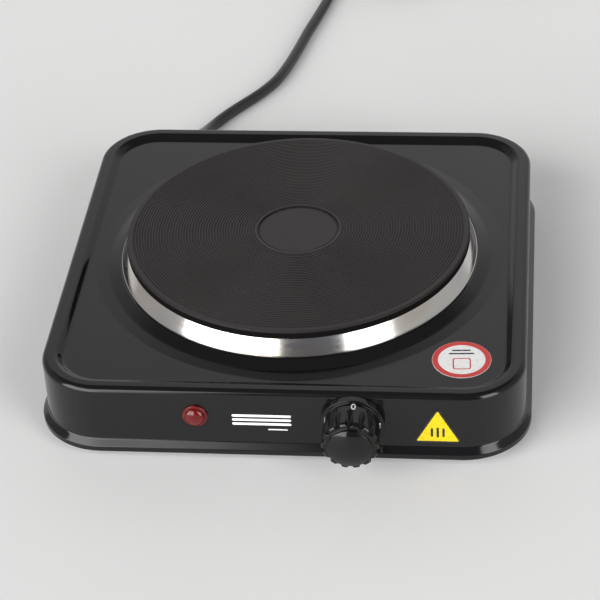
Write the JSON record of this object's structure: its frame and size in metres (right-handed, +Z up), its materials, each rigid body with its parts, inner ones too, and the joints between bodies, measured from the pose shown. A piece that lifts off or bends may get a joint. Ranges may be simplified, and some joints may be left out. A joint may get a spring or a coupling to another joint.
{
  "type": "electric hot plate",
  "caption": "Single electric hot plate with a round cast-iron plate in a steel ring, a fluted control knob, a red signal lamp and a mains lead with a plug.",
  "frame": {"origin": "bottom centre of the object's box, without the mains lead and what is on it, on the surface that the feet stand on", "axes": "+Z up, -Y towards the front with the knob and the lamp, +X to the right seen from the front"},
  "size_m": [0.278, 0.6172, 0.0574],
  "materials": {
    "black_enamel": "glossy black stove enamel",
    "cast_iron": "turned, burnt-in brown-black",
    "polished_steel": "polished stainless",
    "zinc_steel": "zinc plated sheet",
    "fastener_zinc": "bright zinc",
    "knob_plastic": "glossy black phenolic",
    "lens_red": "translucent red",
    "neon_glass": "clear bulb",
    "ceramic": "unglazed steatite",
    "magnesia": "pressed powder",
    "resistance_wire": "dull alloy",
    "brass": "plain",
    "shaft_steel": "turned",
    "bimetal": "rolled strip",
    "cutout_steel": "satin can",
    "foot_rubber": "moulded",
    "cord_pvc": "soft black sheath",
    "pin_nickel": "nickel plated",
    "insulation_brown": "lead insulation",
    "insulation_blue": "lead insulation",
    "insulation_green": "lead insulation",
    "glass_sleeve": "woven glass sleeve",
    "sticker_white": "printed film",
    "sticker_yellow": "printed film"
  },
  "bodies": {
    "root": {"housing": "black_enamel", "housing_tabs": "zinc_steel", "base_cover": "zinc_steel", "base_screws": "fastener_zinc", "foot_front_left": "foot_rubber", "foot_front_right": "foot_rubber", "foot_rear_left": "foot_rubber", "foot_rear_right": "foot_rubber", "hot_plate": "cast_iron", "plate_ring": "polished_steel", "heating_coils": "resistance_wire", "insulation": "magnesia", "plate_cover": "zinc_steel", "plate_stud": "fastener_zinc", "clamp_strap": "zinc_steel", "stud_washer": "fastener_zinc", "stud_nut": "fastener_zinc", "terminal_carrier": "ceramic", "plate_terminals": "brass", "thermal_cutout": "cutout_steel", "cutout_clip": "zinc_steel", "thermostat_bracket": "zinc_steel", "thermostat_bush": "brass", "thermostat_screws": "fastener_zinc", "thermostat_base": "ceramic", "contact_blades": "brass", "ceramic_spacers": "ceramic", "stack_rivet": "fastener_zinc", "bimetal_strip": "bimetal", "lamp_lens": "lens_red", "lamp_ring": "fastener_zinc", "neon_bulb": "neon_glass", "lamp_resistor": "ceramic", "earth_stud": "fastener_zinc", "earth_nut": "fastener_zinc", "live_lead": "insulation_brown", "neutral_lead": "insulation_blue", "earth_lead": "insulation_green", "switched_lead": "glass_sleeve", "element_lead": "glass_sleeve", "lamp_leads": "glass_sleeve", "crimp_connectors": "fastener_zinc", "cord_bracket": "zinc_steel", "cord_clamp": "zinc_steel", "clamp_screws": "fastener_zinc", "strain_relief": "cord_pvc", "power_cord": "cord_pvc", "cord_coil": "cord_pvc", "cord_tail": "cord_pvc", "plug": "cord_pvc", "plug_pins": "pin_nickel", "plug_earth_clips": "pin_nickel", "round_sticker": "sticker_white", "triangle_sticker": "sticker_yellow"},
    "control_knob": {"knob": "knob_plastic", "knob_clip": "shaft_steel", "thermostat_shaft": "shaft_steel"},
    "cam_pin": {"ceramic_pin": "ceramic"}
  },
  "joints": [
    {"name": "knob_turn", "type": "hinge", "parent": "root", "child": "control_knob", "pos_m": [0.038, -0.11325, 0.0276], "axis": [0, 1, 0], "range_deg": [0, 288]},
    {"name": "pin_push", "type": "slide", "parent": "root", "child": "cam_pin", "axis": [0, 1, 0], "range_m": [0, 0.0008]}
  ],
  "couplings": [
    {"joint": "pin_push", "follows": "knob_turn", "m_per_rad": 0.00015908}
  ]
}
